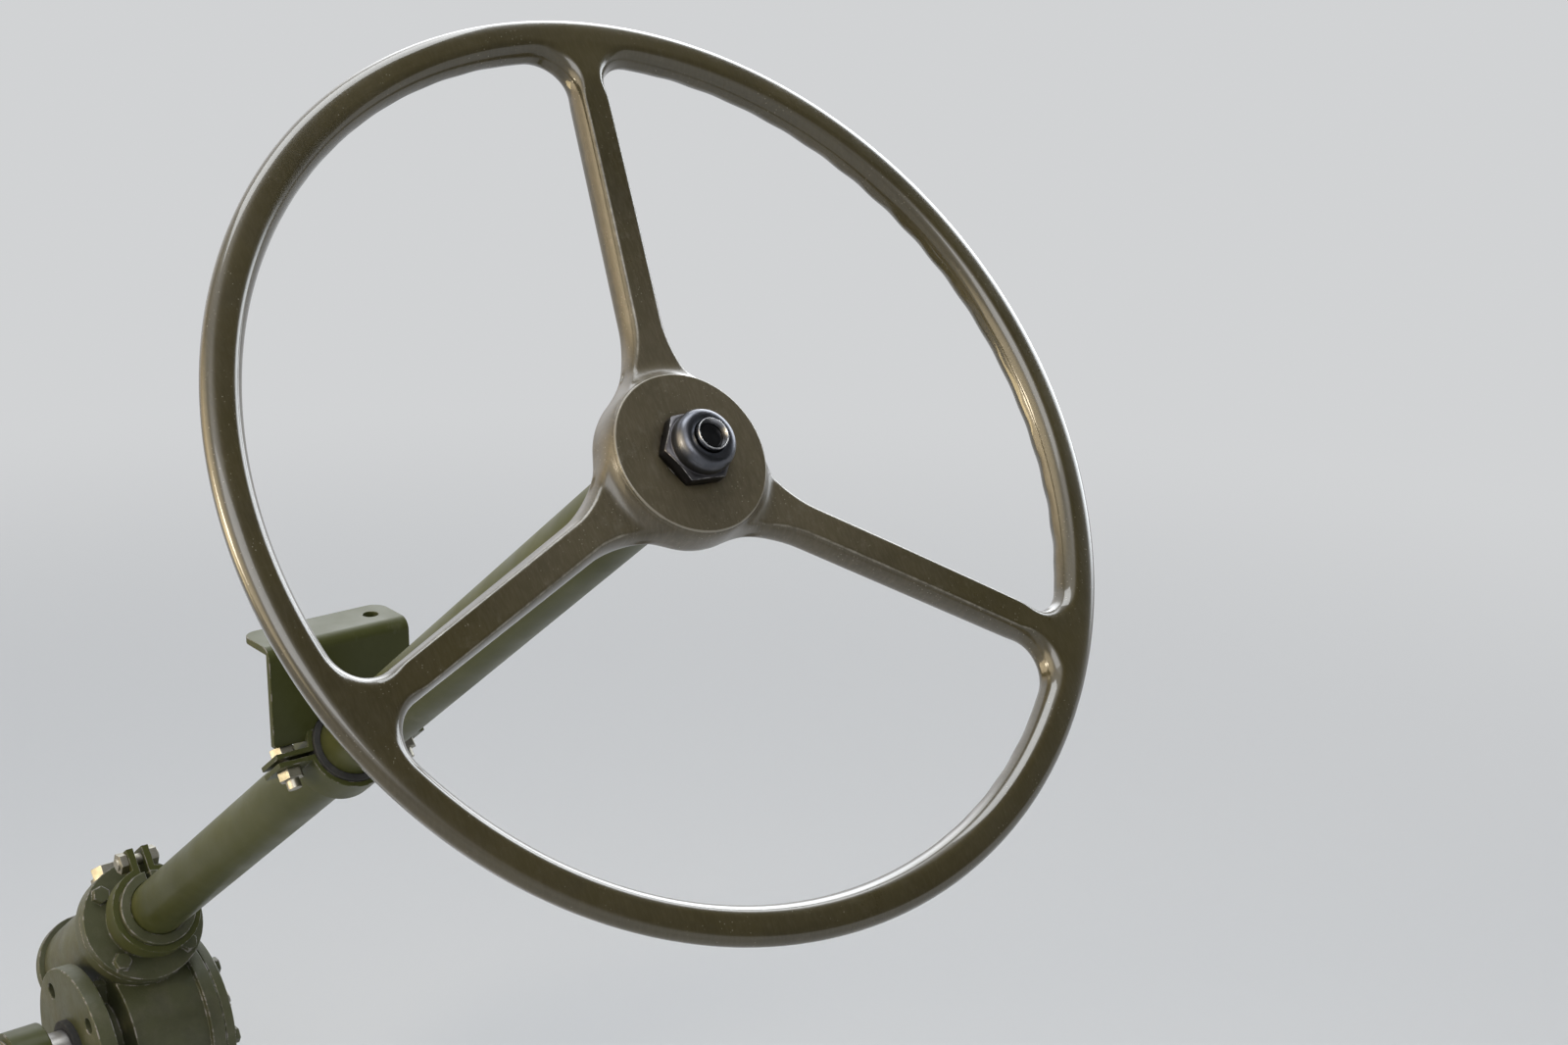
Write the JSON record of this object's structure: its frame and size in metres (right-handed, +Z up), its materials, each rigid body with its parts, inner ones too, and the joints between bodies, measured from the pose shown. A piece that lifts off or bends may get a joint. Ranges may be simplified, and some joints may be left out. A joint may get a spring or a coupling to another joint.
{
  "type": "steering wheel with column and steering gear box",
  "caption": "Round spoked steering wheel on a sloping column, turning a cast gear box that swings a drop arm.",
  "frame": {"origin": "centre of the gear box's bolted frame flange, on the lever shaft's axis, in the flange's outer face", "axes": "+X to the vehicle's right, +Y to the vehicle's front, +Z up, with the column at its installed slope"},
  "size_m": [0.438, 0.8998, 0.9003],
  "materials": {
    "wheel_moulding": "satin-gloss olive-brown moulding, worn bright on its edges, fine nicks",
    "dark_steel": "dark oiled steel with bright worn edges",
    "bright_steel": "turned bright steel",
    "bare_steel": "machined steel, lightly oiled",
    "plated_steel": "dull plated fasteners",
    "button_plastic": "gloss black",
    "olive_paint": "gloss olive drab enamel",
    "cast_paint": "olive drab over rough casting",
    "black_rubber": "matte black rubber"
  },
  "bodies": {
    "box_and_column": {"gear_housing": "cast_paint", "upper_cover": "cast_paint", "lower_cover": "cast_paint", "side_cover": "cast_paint", "adjuster_screw": "plated_steel", "adjuster_locknut": "plated_steel", "filler_plug": "plated_steel", "column_jacket": "olive_paint", "top_bearing": "bare_steel", "jacket_clamp": "olive_paint", "clamp_bolt": "plated_steel", "bracket_sleeve": "black_rubber", "dash_bracket": "olive_paint", "bracket_strap": "olive_paint", "bracket_bolt_left": "plated_steel", "bracket_bolt_right": "plated_steel", "shaft_seal": "black_rubber"},
    "wheel_and_shaft": {"steering_wheel": "wheel_moulding", "hub_core": "bare_steel", "wheel_nut": "dark_steel", "horn_collar": "bright_steel", "horn_button": "button_plastic", "steering_shaft": "bare_steel", "bearing_seat": "bare_steel"},
    "drop_arm_and_shaft": {"lever_shaft": "bare_steel", "drop_arm": "olive_paint", "arm_washer": "plated_steel", "arm_nut": "plated_steel", "ball_stud": "bright_steel"}
  },
  "joints": [
    {"name": "wheel_turn", "type": "hinge", "parent": "box_and_column", "child": "wheel_and_shaft", "pos_m": [0.052, -0.65351, 0.57008], "axis": [0, -0.7986, 0.6018], "range_deg": [-495, 495]},
    {"name": "drop_arm_swing", "type": "hinge", "parent": "box_and_column", "child": "drop_arm_and_shaft", "pos_m": [0, 0, 0], "axis": [1, 0, 0], "range_deg": [-36, 36]}
  ],
  "couplings": [
    {"joint": "drop_arm_swing", "follows": "wheel_turn", "ratio": 0.071429}
  ]
}
